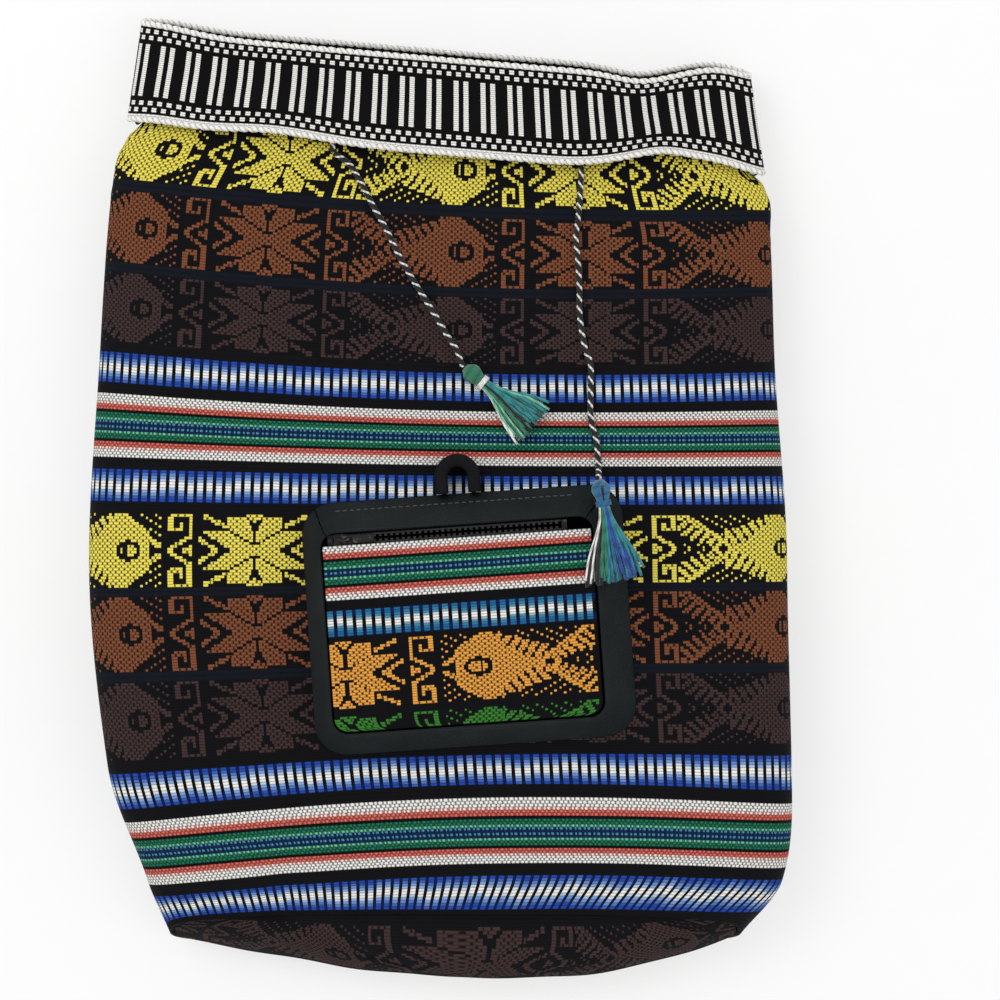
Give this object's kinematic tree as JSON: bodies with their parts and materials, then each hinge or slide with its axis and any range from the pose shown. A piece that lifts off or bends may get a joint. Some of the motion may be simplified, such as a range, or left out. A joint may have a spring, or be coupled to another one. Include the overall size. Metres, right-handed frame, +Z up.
{
  "type": "drawstring backpack",
  "caption": "Soft woven drawstring backpack lying on its back, with a striped cloth body, tape collar, tasselled cord, zipped front pouch and shoulder straps.",
  "frame": {"origin": "middle of the footprint without the free cords, on the floor that the back lies on", "axes": "+Z up out of the front of the bag, +Y from the base to the mouth, +X to the right seen from the front"},
  "size_m": [0.33, 0.4548, 0.0884],
  "materials": {
    "bag_cloth": "matte woven cotton with coloured bands",
    "base_cloth": "matte woven cotton with coloured bands",
    "woven_tape": "matte black and white woven tape",
    "cord": "matte twisted black and white cotton",
    "green_yarn": "soft acrylic yarn",
    "blue_yarn": "soft acrylic yarn",
    "binding_thread": "matte cotton thread",
    "pouch_cloth": "matte woven cotton with coloured bands",
    "grey_cotton": "matte dark grey cotton",
    "black_tape": "matte black ribbon",
    "nylon": "satin black nylon coil",
    "zip_metal": "dark painted metal"
  },
  "bodies": {
    "bag": {"bag_front": "bag_cloth", "bag_back": "bag_cloth", "bag_base": "base_cloth", "collar_band": "woven_tape", "drawstring_run": "cord", "drawstring_left": "cord", "drawstring_right": "cord", "tassel_left_yarns": "green_yarn", "tassel_left_binding": "binding_thread", "tassel_right_yarns": "blue_yarn", "tassel_right_binding": "binding_thread", "pouch_panel": "pouch_cloth", "pouch_gusset": "grey_cotton", "pouch_facing": "grey_cotton", "pouch_loop": "black_tape", "zip_tape_upper": "black_tape", "zip_tape_lower": "black_tape", "zip_teeth_upper": "nylon", "zip_teeth_lower": "nylon", "zip_stop_left": "zip_metal", "zip_stop_right": "zip_metal", "strap_left": "woven_tape", "strap_right": "woven_tape"},
    "slider": {"zip_slider": "zip_metal"},
    "pull": {"zip_pull": "zip_metal"}
  },
  "joints": [
    {"name": "zip_slide", "type": "slide", "parent": "bag", "child": "slider", "axis": [0.9976, 0.0698, 0], "range_m": [0, 0.094]},
    {"name": "pull_swing", "type": "hinge", "parent": "slider", "child": "pull", "pos_m": [-0.0432, -0.0193, 0.0767], "axis": [0.0698, -0.9976, 0], "range_deg": [0, 140]}
  ]
}
